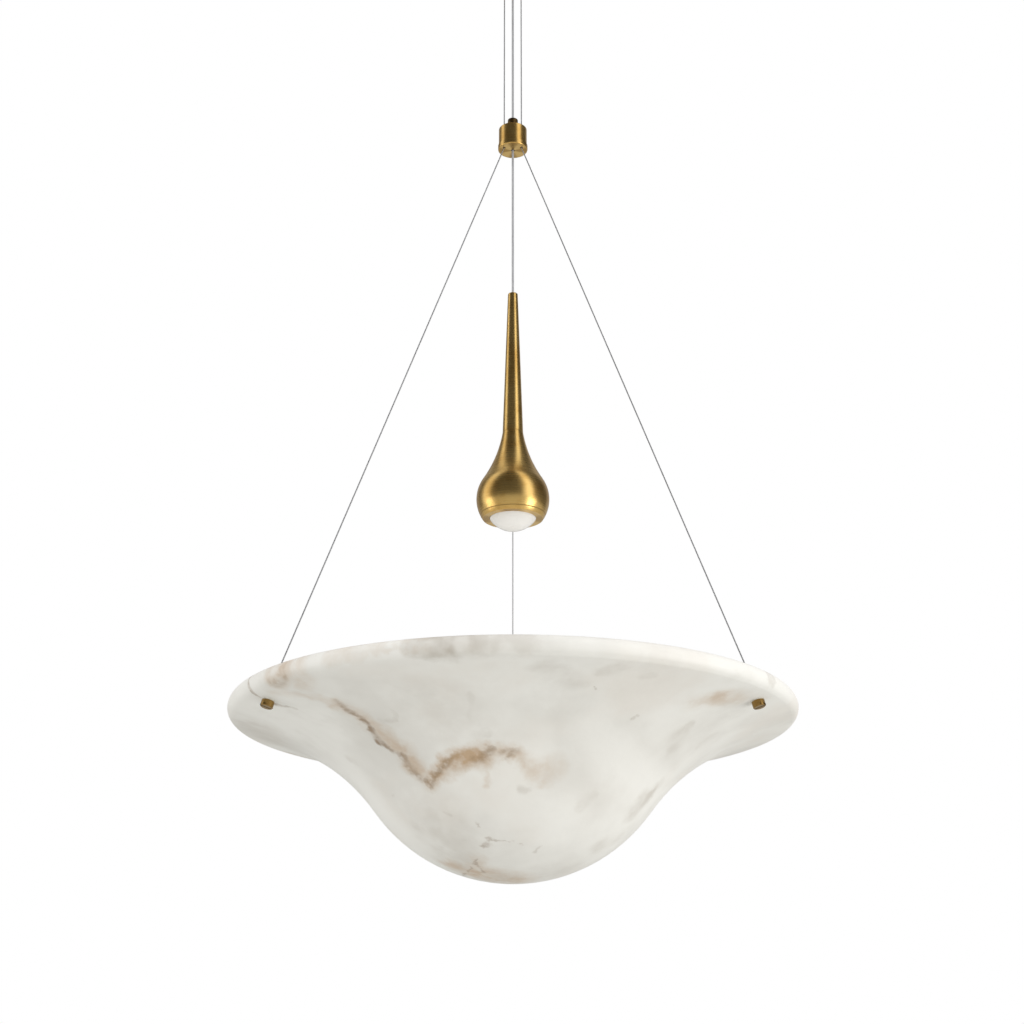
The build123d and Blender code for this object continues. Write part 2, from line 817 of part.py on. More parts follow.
def bulb_angle(radius, drop):
    """The angle at which a circle round the bulb's centre is that far below it."""
    return -atan2(drop, sqrt(radius**2 - drop**2))


def flare_angle_at(radius, height):
    reach = flare_centre.Y - height
    return atan2(reach, sqrt(radius**2 - reach**2))


def bulb_shell():
    """The spun brass drop, with a boss for the nipple and a thread for the bezel."""
    inner = bulb_radius - bulb_wall
    inner_flare = flare + bulb_wall
    boss_height = bulb_height - bulb_boss
    shoulder_top = shoulder_height - shoulder_drop
    outer_start = flare_angle_at(flare, bulb_height)
    inner_start = flare_angle_at(inner_flare, boss_height)
    seam_start = bulb_angle(bulb_radius, seam_drop - seam_chamfer)
    seam_edge = bulb_point(bulb_radius, seam_start)
    seam_inner = (seam_edge[0] - seam_chamfer, -seam_drop)
    shoulder_edge = bulb_point(inner, bulb_angle(inner, -shoulder_top))
    outline = [
        Line((0, bulb_height), (neck_foot_radius, bulb_height)),
        arc(flare_point, flare, outer_start, flare_end),
        arc(bulb_point, bulb_radius, flare_end, seam_start),
        Line(seam_edge, seam_inner),
        Line(seam_inner, (thread_radius, -seam_drop)),
        Line((thread_radius, -seam_drop), (thread_radius, -shoulder_drop)),
        Line((thread_radius, -shoulder_drop), (shoulder_radius, -shoulder_drop)),
        Line((shoulder_radius, -shoulder_drop), (shoulder_radius, shoulder_top)),
        Line((shoulder_radius, shoulder_top), shoulder_edge),
        arc(bulb_point, inner, bulb_angle(inner, -shoulder_top), flare_end),
        arc(flare_point, inner_flare, flare_end, inner_start),
        Line(flare_point(inner_flare, inner_start), (0, boss_height)),
        Line((0, boss_height), (0, bulb_height)),
    ]
    shape = turned(outline)
    shape -= rod(nipple_radius, boss_height - 1, bulb_height + 1)
    return Pos(0, 0, bulb_centre) * shape


def neck_tube():
    """A long taper, closed at the top round the cable and at the foot round the nipple."""
    taper = (neck_foot_radius - neck_top_radius) / neck_length
    inner_top = neck_top_radius + taper * neck_cap - neck_wall
    inner_foot = neck_foot_radius - taper * neck_base - neck_wall
    outer = [
        (0, neck_top),
        (neck_top_radius, neck_top),
        (neck_foot_radius, neck_foot),
        (0, neck_foot),
    ]
    hollow = [
        (0, neck_top - neck_cap),
        (inner_top, neck_top - neck_cap),
        (inner_foot, neck_foot + neck_base),
        (0, neck_foot + neck_base),
    ]
    shape = turned_polygon(outer)
    shape = fillet(top_edges(shape), neck_edge_radius)
    shape = chamfer(foot_edges(shape), seam_chamfer)
    shape -= turned_polygon(hollow)
    shape -= rod(cable_radius + running_gap, neck_top - neck_cap - 1, neck_top + 1)
    return shape - rod(nipple_radius, neck_foot - 1, neck_foot + neck_base + 1)


def bezel_ring():
    """The drop's lower lip: it screws into the shell and carries the lens."""
    spigot_radius = thread_radius - running_gap
    spigot_top = heatsink_foot - seat_gap
    seam_end = bulb_angle(bulb_radius, seam_drop + seam_chamfer)
    seam_edge = bulb_point(bulb_radius, seam_end)
    foot = bulb_point(bulb_radius, bulb_angle(bulb_radius, bezel_drop))
    ledge = bezel_ledge - bezel_drop
    corners = [
        foot,
        (bezel_opening, -bezel_drop),
        (bezel_opening, ledge),
        (bezel_bore, ledge),
        (bezel_bore, spigot_top),
        (spigot_radius, spigot_top),
        (spigot_radius, -seam_drop),
        (seam_edge[0] - seam_chamfer, -seam_drop),
        seam_edge,
    ]
    lower_arc = arc(bulb_point, bulb_radius, seam_end, bulb_angle(bulb_radius, bezel_drop))
    shape = turned([Polyline(*corners), lower_arc])
    return Pos(0, 0, bulb_centre) * fillet(foot_edges(shape), bezel_edge_radius)


def opal_lens():
    """A domed acrylic lens with a flange that lies on the bezel's ledge."""
    base = bezel_opening - lens_gap
    dome = (base**2 + lens_bulge**2) / (2 * lens_bulge)
    dome_centre = dome - lens_bulge - bezel_drop
    inner = dome - lens_wall
    flange_foot = bezel_ledge - bezel_drop
    flange_top = flange_foot + lens_flange

    def dome_point(radius, angle):
        return (radius * sin(angle), dome_centre - radius * cos(angle))

    outer_edge = atan2(base, dome_centre + bezel_drop)
    inner_edge = atan2(sqrt(inner**2 - (dome_centre + bezel_drop) ** 2), dome_centre + bezel_drop)
    inner_rim = dome_point(inner, inner_edge)
    outline = [
        arc(dome_point, dome, 0, outer_edge),
        Line(dome_point(dome, outer_edge), (base, flange_foot)),
        Line((base, flange_foot), (bezel_bore - lens_gap, flange_foot)),
        Line((bezel_bore - lens_gap, flange_foot), (bezel_bore - lens_gap, flange_top)),
        Line((bezel_bore - lens_gap, flange_top), (inner_rim[0], flange_top)),
        Line((inner_rim[0], flange_top), inner_rim),
        arc(dome_point, inner, inner_edge, 0),
        Line(dome_point(inner, 0), dome_point(dome, 0)),
    ]
    return turned(outline, bulb_centre)


def heatsink():
    """A finned aluminium puck, clamped between the shell's shoulder and the bezel."""
    plate_top = -shoulder_drop - seat_gap
    shape = rod(thread_radius - running_gap, heatsink_foot, plate_top)
    shape += rod(heatsink_stem_radius, plate_top, plate_top + fin_height)
    fin_length = fin_radius - heatsink_stem_radius + 1
    fin_middle = fin_radius - fin_length / 2
    fin = Pos(fin_middle, 0, plate_top + fin_height / 2) * Box(fin_length, fin_thickness, fin_height)
    for number in range(fin_count):
        shape += Rot(0, 0, number * 360 / fin_count) * fin
    shape -= rod(cable_radius + heatsink_cable_gap, heatsink_foot - 1, plate_top + fin_height + 1)
    for azimuth in board_screw_azimuths:
        screw_hole = rod(board_screw_radius, heatsink_foot - 1, plate_top - board_screw_roof)
        shape -= place_at(board_screw_circle, azimuth) * screw_hole
    return Pos(0, 0, bulb_centre) * shape


def led_board():
    shape = rod(board_radius, board_foot, heatsink_foot)
    for azimuth in board_screw_azimuths:
        hole = rod(board_screw_radius, board_foot - 1, heatsink_foot + 1)
        shape -= place_at(board_screw_circle, azimuth) * hole
    return Pos(0, 0, bulb_centre) * shape


def reflector():
    """A shallow white cone from the light source out to the lens's gasket."""
    rim_foot = bezel_ledge - bezel_drop + lens_flange + lens_gasket
    rim_outer = bezel_bore - lens_gap
    throat = chip_radius + reflector_throat_gap
    points = [
        (throat, board_foot),
        (throat + reflector_foot_width, board_foot),
        (rim_outer - reflector_rim_width + reflector_wall, rim_foot + reflector_wall),
        (rim_outer, rim_foot + reflector_wall),
        (rim_outer, rim_foot),
        (rim_outer - reflector_rim_width, rim_foot),
        (throat, board_foot - reflector_wall),
    ]
    return turned_polygon(points, bulb_centre)


save("lower_cable", rod(cable_radius, bulb_centre + heatsink_foot, cap_foot - cable_swing_gap))
save("neck_tube", neck_tube())
clamp_top = neck_top - neck_cap
save("cable_clamp", tube(clamp_radius, cable_radius, clamp_top - clamp_height, clamp_top))
nipple_ends = (neck_foot - nipple_length / 2, neck_foot + nipple_length / 2)
save("neck_nipple", tube(nipple_radius, nipple_bore, *nipple_ends))
save("bulb_shell", bulb_shell())
save("bezel_ring", bezel_ring())
save("opal_lens", opal_lens())
gasket_foot = bulb_centre + bezel_ledge - bezel_drop + lens_flange
gasket_outer = bezel_bore - lens_gap
gasket_inner = gasket_outer - lens_gasket_width
save("lens_gasket", tube(gasket_outer, gasket_inner, gasket_foot, gasket_foot + lens_gasket))
save("heatsink", heatsink())
save("led_board", led_board())
chip = rod(chip_radius, board_foot - chip_thickness, board_foot)
save("led_chip", Pos(0, 0, bulb_centre) * chip)
board_screw = slotted_screw(
    board_screw_radius,
    board_foot - board_screw_head,
    board_foot,
    -shoulder_drop - seat_gap - board_screw_roof - board_screw_tip_gap,
)
board_screw = Pos(0, 0, bulb_centre) * board_screw
screw_places = [place_at(board_screw_circle, a) for a in board_screw_azimuths]
save("board_screws", group([place * board_screw for place in screw_places]))
save("reflector", reflector())
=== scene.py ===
# %% [markdown]
# A pendant light: a thick veined stone bowl hangs on three thin steel wires from a small brass
# hub, and a brass drop with an opal lens hangs on its own cable over the bowl's middle.
# The shapes come from the CAD model, which is loaded first as a fixed frame. This script adds
# the camera, the ropes and cables, closer thumb screws, springs parted one per gripper, the
# finishes and the studio.

# %% Load the frame
from math import atan2, cos, degrees, pi, radians, sin

import bpy
from mathutils import Matrix, Vector
from mathutils.bvhtree import BVHTree


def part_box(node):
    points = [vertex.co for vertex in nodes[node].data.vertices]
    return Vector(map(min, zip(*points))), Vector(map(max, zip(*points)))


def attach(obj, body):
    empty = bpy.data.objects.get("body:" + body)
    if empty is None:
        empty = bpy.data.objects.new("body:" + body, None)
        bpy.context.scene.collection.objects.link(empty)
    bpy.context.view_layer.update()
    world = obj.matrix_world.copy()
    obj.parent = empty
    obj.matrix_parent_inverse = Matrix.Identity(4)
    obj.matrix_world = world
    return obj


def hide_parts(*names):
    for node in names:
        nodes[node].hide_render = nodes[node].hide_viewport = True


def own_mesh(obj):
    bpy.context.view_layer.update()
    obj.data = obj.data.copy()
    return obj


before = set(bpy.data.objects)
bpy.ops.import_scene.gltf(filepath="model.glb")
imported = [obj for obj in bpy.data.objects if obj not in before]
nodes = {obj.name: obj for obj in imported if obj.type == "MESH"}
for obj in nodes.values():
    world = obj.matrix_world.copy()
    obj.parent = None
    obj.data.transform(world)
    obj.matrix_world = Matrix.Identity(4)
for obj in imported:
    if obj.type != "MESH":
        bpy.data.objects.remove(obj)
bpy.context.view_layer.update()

bpy.ops.object.select_all(action="DESELECT")

# %% [markdown]
# The camera stands in front of the bowl and a little below its rim, and looks up by 20 degrees,
# so that it sees the bowl's underside. A focal length is easier to judge in pixels of the
# picture than in millimetres: it is the distance at which one unit is one pixel wide.

# %% Camera
picture_size = 1024
focal_pixels = 1625.4
sensor_width = 36.0
camera_place = Vector((-0.001, -1.7, -1.4114))
camera_tilt = radians(110.02)

bpy.ops.object.camera_add(location=camera_place, rotation=(camera_tilt, 0, 0))
camera = bpy.context.object
camera.name = "photo_camera"
camera.data.sensor_width = sensor_width
camera.data.lens = focal_pixels * sensor_width / picture_size
bpy.context.scene.camera = camera
bpy.context.scene.view_settings.view_transform = "Standard"
print("lens", round(camera.data.lens, 2), "mm")

# %% [markdown]
# Six wire ropes carry the lamp: three hang straight from the ceiling to the hub, and three
# slant from the hub to the brim. They are pulled straight by the bowl's 13 kilograms. A rope is
# six strands laid round a core, so its section is a flower of six lobes that turns as it goes.
# A plain tube would look like rod, and modelling every filament would cost millions of faces,
# so one lobed section is carried along the rope's own smooth line and turned a little at
# each ring.

# %% Where the ropes run
mm = 0.001
wire_circle = 12.0 * mm
mouth = -69.0 * mm
hub_foot = -326.0 * mm
hub_upper_ball = (wire_circle, 0, -305.1 * mm)
lower_wire_start = (8.486 * mm, 0, -316.649 * mm)
anchor_ball = (269.361 * mm, 0, -1010.948 * mm)
wire_azimuths = {"back": 90, "left": 210, "right": 330}


def route(name, points):
    """A smooth open spline with the points as its control points."""
    line = bpy.data.curves.new(name, "CURVE")
    line.dimensions = "3D"
    spline = line.splines.new("NURBS")
    spline.points.add(len(points) - 1)
    for point, place in zip(spline.points, points):
        point.co = (*place, 1)
    spline.order_u = 3
    spline.use_endpoint_u = True
    piece = bpy.data.objects.new(name, line)
    bpy.context.scene.collection.objects.link(piece)
    return piece


def straight_points(start, end, azimuth):
    """Both ends and the middle of a straight run, turned about the Z axis."""
    turn = Matrix.Rotation(radians(azimuth), 3, "Z")
    ends = [turn @ Vector(start), turn @ Vector(end)]
    return [ends[0], (ends[0] + ends[1]) / 2, ends[1]]


# %% The rope's section and lay
wire_radius = 0.75 * mm
strand_count = 6
section_points = 24
valley_share = 0.84
rope_lay = 10.0 * mm
rings_per_turn = 12


def lobe(share):
    """How far out the rope's surface is: 0 in a valley between strands, 1 on a strand."""
    return abs(cos(pi * share * strand_count)) ** 0.7


def rings_along(points, step):
    """Places at an even step along a line of points, with both ends kept."""
    lengths = [0.0]
    for first, second in zip(points, points[1:]):
        lengths.append(lengths[-1] + (second - first).length)
    count = round(lengths[-1] / step)
    places = []
    part = 0
    for number in range(count + 1):
        distance = lengths[-1] * number / count
        while part < len(points) - 2 and lengths[part + 1] < distance:
            part += 1
        share = (distance - lengths[part]) / (lengths[part + 1] - lengths[part])
        places.append(points[part].lerp(points[part + 1], share))
    return places


def twisted_rope(name, line):
    """A lobed tube that follows the line and turns once in each lay."""
    line_mesh = bpy.data.meshes.new_from_object(line)
    line_points = [vertex.co.copy() for vertex in line_mesh.vertices]
    places = rings_along(line_points, rope_lay / rings_per_turn)
    along = (places[-1] - places[0]).normalized()
    across = along.cross(Vector((0, 1, 0.3))).normalized()
    up = along.cross(across)
    vertices = []
    heights = []
    for ring, place in enumerate(places):
        for number in range(section_points):
            share = number / section_points
            angle = 2 * pi * (share + ring / rings_per_turn)
            height = lobe(share)
            radius = wire_radius * (valley_share + (1 - valley_share) * height)
            vertices.append(place + (across * cos(angle) + up * sin(angle)) * radius)
            heights.append(height)
    faces = []
    for ring in range(len(places) - 1):
        base = ring * section_points
        for number in range(section_points):
            beside = (number + 1) % section_points
            faces.append((
                base + number,
                base + beside,
                base + section_points + beside,
                base + section_points + number,
            ))
    faces.append(tuple(reversed(range(section_points))))
    faces.append(tuple(range(len(vertices) - section_points, len(vertices))))
    mesh = bpy.data.meshes.new(name)
    mesh.from_pydata(vertices, [], faces)
    strand = mesh.attributes.new("strand", "FLOAT", "POINT")
    strand.data.foreach_set("value", heights)
    mesh.shade_smooth()
    rope = bpy.data.objects.new(name, mesh)
    bpy.context.scene.collection.objects.link(rope)
    bpy.data.objects.remove(line)
    bpy.data.meshes.remove(line_mesh)
    return rope, places


def add_rope(name, node, body, points):
    """A taut rope in place of a CAD wire. It leaves the object at its first point."""
    rope, places = twisted_rope(name, route(name + "_line", points))
    length = sum((b - a).length for a, b in zip(places, places[1:]))
    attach(rope, body)
    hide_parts(node)
    print(name, "length", round(length, 4), "faces", len(rope.data.polygons))
    return rope


# %% Make the six ropes
ropes = []
for side, azimuth in wire_azimuths.items():
    upper = straight_points((wire_circle, 0, mouth), hub_upper_ball, azimuth)
    lower = straight_points(lower_wire_start, anchor_ball, azimuth)
    ropes.append(add_rope(f"rope_upper_{side}", f"upper_wire_{side}", "suspension", upper))
    ropes.append(add_rope(f"rope_lower_{side}", f"lower_wire_{side}", "bowl", lower))

# %% [markdown]
# The lamp's cable is round, smooth and pale grey, a little thicker than the wires. It hangs
# straight under the drop's weight, so a spline with a round bevel is all that it needs. The
# bevelled spline is turned into a mesh, because a bare curve object has no exact box.

# %% Make the cable's two visible runs
cable_radius = 1.35 * mm
cable_top = -69.45 * mm
cable_foot = -326.45 * mm
heatsink_foot = -786.1 * mm
cable_bevel_steps = 6


def add_cable(name, node, body, top, foot):
    """A taut round cable on the lamp's axis, in place of a CAD one."""
    line = route(name + "_line", [(0, 0, top), (0, 0, (top + foot) / 2), (0, 0, foot)])
    line_mesh = bpy.data.meshes.new_from_object(line)
    line.data.bevel_depth = cable_radius
    line.data.bevel_resolution = cable_bevel_steps
    line.data.use_fill_caps = True
    mesh = bpy.data.meshes.new_from_object(line)
    mesh.shade_smooth()
    cable = bpy.data.objects.new(name, mesh)
    bpy.context.scene.collection.objects.link(cable)
    bpy.data.objects.remove(line)
    bpy.data.meshes.remove(line_mesh)
    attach(cable, body)
    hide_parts(node)
    print(name, "length", round(top - foot, 4), "faces", len(mesh.polygons))
    return cable


cables = [
    add_cable("cable_upper", "upper_cable", "suspension", cable_top, hub_foot),
    add_cable("cable_lower", "lower_cable", "drop", cable_foot, heatsink_foot),
]

# %% [markdown]
# Three thumb screws in the cover's side clamp it to the ceiling pan. The CAD model has them as
# plain rods, so this is a closer version: a brass head with a straight knurl for the fingers, a
# dished end and a thin shank. A knurl could be a bump in the finish, but then its outline would
# stay smooth. So each side face of the head is inset and pushed in, which leaves a ridge
# between every two of them.

# %% The thumb screw's sizes
thumb_radius = 4.0 * mm
thumb_length = 5.0 * mm
thumb_foot = 61.6 * mm
thumb_height = -6.0 * mm
shank_radius = 2.0 * mm
shank_length = 1.55 * mm
ridge_count = 32
ridge_half_width = 0.12 * mm
groove_depth = 0.22 * mm
dish_rim = 1.0 * mm
dish_depth = 0.35 * mm
edge_softness = 0.1 * mm
smooth_angle = radians(35)
thumb_azimuths = (30, 150, 270)


def select_faces(mesh, wanted):
    """Selects, in edit mode, just the faces that the test picks."""
    bpy.ops.mesh.select_all(action="DESELECT")
    bpy.ops.object.mode_set(mode="OBJECT")
    for face in mesh.polygons:
        face.select = wanted(face)
    print("faces picked", sum(face.select for face in mesh.polygons))
    bpy.ops.object.mode_set(mode="EDIT")


# %% Model one thumb screw along the X axis
bpy.ops.object.select_all(action="DESELECT")
bpy.ops.mesh.primitive_cylinder_add(
    vertices=ridge_count,
    radius=thumb_radius,
    depth=thumb_length,
    location=(thumb_foot + thumb_length / 2, 0, thumb_height),
    rotation=(0, radians(90), 0),
)
thumb = bpy.context.object
bpy.ops.object.transform_apply(location=True, rotation=True, scale=True)
bpy.ops.object.mode_set(mode="EDIT")
bpy.ops.mesh.select_mode(type="FACE")
select_faces(thumb.data, lambda face: abs(face.normal.x) < 0.5)
bpy.ops.mesh.inset(thickness=ridge_half_width, depth=-groove_depth, use_individual=True)
select_faces(thumb.data, lambda face: face.normal.x > 0.9)
bpy.ops.mesh.inset(thickness=dish_rim, depth=0.0)
bpy.ops.mesh.inset(thickness=dish_depth, depth=-dish_depth)
select_faces(thumb.data, lambda face: face.normal.x < -0.9)
bpy.ops.mesh.inset(thickness=thumb_radius - shank_radius, depth=0.0)
bpy.ops.mesh.extrude_region_move(TRANSFORM_OT_translate={"value": (-shank_length, 0, 0)})
bpy.ops.object.mode_set(mode="OBJECT")
soft_edges = thumb.modifiers.new("soft_edges", "BEVEL")
soft_edges.width = edge_softness
soft_edges.segments = 2
soft_edges.limit_method = "ANGLE"
bpy.ops.object.modifier_apply(modifier="soft_edges")
bpy.ops.object.shade_smooth_by_angle(angle=smooth_angle)
print("thumb screw faces", len(thumb.data.polygons))

# %% Copy it round the cover
copies = [thumb]
for azimuth in thumb_azimuths[1:]:
    copy = bpy.data.objects.new("thumb_copy", thumb.data.copy())
    copy.data.transform(Matrix.Rotation(radians(azimuth), 4, "Z"))
    bpy.context.scene.collection.objects.link(copy)
    copies.append(copy)
thumb.data.transform(Matrix.Rotation(radians(thumb_azimuths[0]), 4, "Z"))
bpy.ops.object.select_all(action="DESELECT")
for copy in copies:
    copy.select_set(True)
bpy.context.view_layer.objects.active = thumb
bpy.ops.object.join()
thumb.name = "knurled_thumb_screws"
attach(thumb, "cover")
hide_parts("cover_screws")
bpy.ops.object.select_all(action="DESELECT")
print("thumb screws", [round(size / mm, 1) for size in thumb.dimensions], "mm over all")

# %% [markdown]
# Inside each wire gripper a coil spring presses the plunger down. Pushing the plunger in frees
# the wire and shortens the spring. The CAD model holds the three springs as one node, but each
# plunger has a joint of its own. So a copy of the node is parted into its three springs, and
# each is named after its wire and attached to the canopy.

# %% Part the springs
weld_distance = 0.001 * mm
all_springs = bpy.data.objects.new("springs", nodes["gripper_springs"].data.copy())
bpy.context.scene.collection.objects.link(all_springs)
all_springs.select_set(True)
bpy.context.view_layer.objects.active = all_springs
bpy.ops.object.mode_set(mode="EDIT")
bpy.ops.mesh.select_all(action="SELECT")
bpy.ops.mesh.remove_doubles(threshold=weld_distance)
bpy.ops.mesh.separate(type="LOOSE")
bpy.ops.object.mode_set(mode="OBJECT")
bpy.ops.object.shade_smooth_by_angle(angle=smooth_angle)
springs = list(bpy.context.selected_objects)
bpy.ops.object.select_all(action="DESELECT")

# %% Name each spring after its wire and attach it to the canopy
for spring in springs:
    points = [vertex.co for vertex in spring.data.vertices]
    middle = sum(points, Vector()) / len(points)
    spring_azimuth = degrees(atan2(middle.y, middle.x)) % 360
    side = min(wire_azimuths, key=lambda name: abs(wire_azimuths[name] - spring_azimuth))
    spring.name = f"gripper_spring_{side}"
    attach(spring, "canopy")
    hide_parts("gripper_springs")
    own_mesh(spring)

# %% [markdown]
# Every finish is a small network of nodes, and most of it is arithmetic. Written out node by
# node it would be hard to read, so one small class holds an output socket and turns sums on it
# into Math nodes. Any other node comes from its one method, add.

# %% A class for shader maths


class Shade:
    """One output of a material's nodes. A sum or product of it is another one."""

    def __init__(self, tree, socket=None):
        self.tree = tree
        self.socket = socket

    def add(self, kind, settings=None, values=None, output=0):
        """A new node: its settings, then the values or links of its sockets."""
        node = self.tree.nodes.new(kind)
        for name, setting in (settings or {}).items():
            if name == "stops":
                for number, (place, stop_colour) in enumerate(setting):
                    stops = node.color_ramp.elements
                    stop = stops[number] if number < 2 else stops.new(place)
                    stop.position = place
                    stop.color = stop_colour
            else:
                setattr(node, name, setting)
        for name, value in (values or {}).items():
            if isinstance(value, Shade):
                self.tree.links.new(value.socket, node.inputs[name])
            else:
                node.inputs[name].default_value = value
        return Shade(self.tree, node.outputs[output]) if node.outputs else None

    def math(self, operation, first, second=0.0):
        """One Math node on two values."""
        return self.add("ShaderNodeMath", {"operation": operation}, {0: first, 1: second})

    def __add__(self, other):
        return self.math("ADD", self, other)

    def __sub__(self, other):
        return self.math("SUBTRACT", self, other)

    def __mul__(self, other):
        return self.math("MULTIPLY", self, other)

    def __truediv__(self, other):
        return self.math("DIVIDE", self, other)

    def __rsub__(self, other):
        return self.math("SUBTRACT", other, self)

    def __rtruediv__(self, other):
        return self.math("DIVIDE", other, self)

    __radd__ = __add__
    __rmul__ = __mul__


# %% Helpers for colours, noise and soft steps
normal_output = 1
object_output = 3


def colour(red, green, blue):
    """A colour as a painter reads it off a screen, 0 to 255, turned into light."""
    channels = []
    for value in (red, green, blue):
        share = value / 255
        channels.append(share / 12.92 if share <= 0.04045 else ((share + 0.055) / 1.055) ** 2.4)
    return (*channels, 1.0)


def mix(first, second, share):
    """A colour between two colours."""
    source = next(value for value in (share, first, second) if isinstance(value, Shade))
    return source.add("ShaderNodeMix", {"data_type": "RGBA"}, {0: share, 6: first, 7: second}, 2)


def vector(operation, first, second, output=0):
    """One Vector Math node. Its output 0 is a vector, and output 1 is a number."""
    source = first if isinstance(first, Shade) else second
    settings = {"operation": operation}
    return source.add("ShaderNodeVectorMath", settings, {0: first, 1: second}, output)


def scaled(place, share):
    """A vector times a number."""
    source = place if isinstance(place, Shade) else share
    values = {0: place, "Scale": share}
    return source.add("ShaderNodeVectorMath", {"operation": "SCALE"}, values)


def parts_of(place):
    """The three numbers of a vector."""
    return [place.add("ShaderNodeSeparateXYZ", None, {0: place}, number) for number in range(3)]


def facing_up(place):
    """How far the surface faces up: 1 on a top, 0 on an upright side, -1 underneath."""
    facing = place.add("ShaderNodeTexCoord", None, None, normal_output)
    return facing.add("ShaderNodeSeparateXYZ", None, {0: facing}, 2)


def noise(place, scale, detail=2.0, roughness=0.5, output=0):
    """Soft random patches. Output 0 is a number, and output 1 is a colour."""
    values = {"Vector": place, "Scale": scale, "Detail": detail, "Roughness": roughness}
    return place.add("ShaderNodeTexNoise", None, values, output)


def soft_step(value, low, high, start=0.0, end=1.0):
    """Goes smoothly from start to end as the value goes from low to high.

    A smooth step stays between its ends by itself. The node's own clamp would keep one more
    value waiting for each vein, and Cycles has room for only a few hundred in one finish.
    """
    settings = {"interpolation_type": "SMOOTHSTEP", "clamp": False}
    values = {"Value": value, "From Min": low, "From Max": high, "To Min": start, "To Max": end}
    return value.add("ShaderNodeMapRange", settings, values)


def stretched(place, x, y, z):
    """The place with each direction squeezed by its own factor."""
    return vector("MULTIPLY", place, (x, y, z))


def bump(height, distance, strength):
    """A height on the surface, in metres, turned into tilted normals."""
    values = {"Height": height, "Distance": distance, "Strength": strength}
    return height.add("ShaderNodeBump", None, values)


def finish(name, sockets):
    """A new material, its place in the object, and the shader that the sockets set."""
    material = bpy.data.materials.new(name)
    material.use_nodes = True
    tree = material.node_tree
    start = Shade(tree)
    place = start.add("ShaderNodeTexCoord", None, None, object_output)
    shader = tree.nodes["Principled BSDF"]
    for socket, value in sockets(place).items():
        if isinstance(value, Shade):
            tree.links.new(value.socket, shader.inputs[socket])
        else:
            shader.inputs[socket].default_value = value
    print("finish", name, "nodes", len(tree.nodes))
    return material


# %% [markdown]
# The bowl is turned from one block of alabaster, a soft white stone with brown and grey veins.
# The veins are what make this lamp this lamp, so the large ones are listed: each is a
# line of places in the picture, with a width and a depth of colour at each. A ray through the
# camera finds where such a place lies on the bowl. A flat map of the bowl, unrolled from its
# lowest point, turns it into a place on the map, so that the vein also goes through the wall to
# the inside, and noise bends and breaks it as real veins are.

# %% From the picture to the bowl's map
bowl = nodes["alabaster_bowl"]
bowl_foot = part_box("alabaster_bowl")[0].z
bowl_tree = BVHTree.FromObject(bowl, bpy.context.evaluated_depsgraph_get())
map_spread = 0.45
map_core = 0.05
bowl_distance = -camera_place.y


def picture_ray(across, down):
    """The direction from the camera through a place in the picture."""
    half = picture_size / 2
    ray = Vector(((across - half) / focal_pixels, (half - down) / focal_pixels, -1))
    return (camera.matrix_world.to_3x3() @ ray).normalized()


def on_map(place):
    """The bowl's map: outwards from its lowest point, and further the higher the place is."""
    height = place.z - bowl_foot
    factor = 1 + map_spread * height / (place.xy.length_squared + map_core**2) ** 0.5
    return Vector((place.x * factor, place.y * factor, 0))


def stone_place(across, down):
    """Where the bowl is at a place in the picture, or its nearest part if the ray misses it."""
    ray = picture_ray(across, down)
    hit = bowl_tree.ray_cast(camera_place, ray)[0]
    if hit is None:
        hit = bowl_tree.find_nearest(camera_place + ray * bowl_distance)[0]
    return on_map(hit)


bpy.context.view_layer.update()
print("middle of the picture's bowl is at", stone_place(512, 760))

# %% Veins, marks, painted shade and light, by place in the picture: across, down, half width, depth
soft_veins = [
    [(272, 692, 4, 0.15), (302, 695, 4, 0.25), (319, 698, 5, 0.4), (331, 704, 6, 0.5)]
    + [(343, 706, 7, 0.42), (355, 713, 7, 0.42), (367, 722, 7, 0.45), (379, 733, 7, 0.5)]
    + [(391, 742, 8, 0.55), (403, 751, 9, 0.6), (413, 764, 9, 0.65), (420, 773, 8, 0.6)]
    + [(430, 781, 8, 0.75), (437, 773, 10, 0.9), (447, 765, 12, 1.0), (458, 760, 12, 1.1)]
    + [(472, 757, 12, 1.0), (484, 755, 12, 0.85), (492, 750, 9, 0.85), (505, 750, 9, 0.85)]
    + [(515, 752, 9, 0.85)],
    [(515, 752, 7, 0.5), (526, 761, 9, 0.45), (537, 768, 12, 0.4), (548, 768, 14, 0.35)]
    + [(558, 768, 11, 0.25)],
    [(545, 776, 10, 0.4), (556, 760, 9, 0.15)],
    [(372, 724, 5, 0.45), (384, 731, 6, 0.4), (398, 743, 6, 0.4)],
    [(484, 760, 5, 0.4), (487, 786, 4, 0.3)],
    [(287, 669, 6, 0.4), (284, 676, 9, 0.55), (274, 684, 8, 0.4)],
    [(299, 667, 7, 0.3), (302, 678, 9, 0.35), (303, 688, 7, 0.25)],
    [(700, 702, 8, 0.25), (720, 697, 9, 0.6), (738, 700, 8, 0.3)],
    [(458, 868, 9, 0.55), (480, 874, 12, 0.7), (510, 880, 12, 0.6)],
    [(473, 864, 3, 0.25), (478, 860, 5, 0.4), (482, 870, 3, 0.25)],
    [(330, 655, 5, 0.2), (380, 650, 5, 0.2), (430, 647, 4, 0.1)],
]
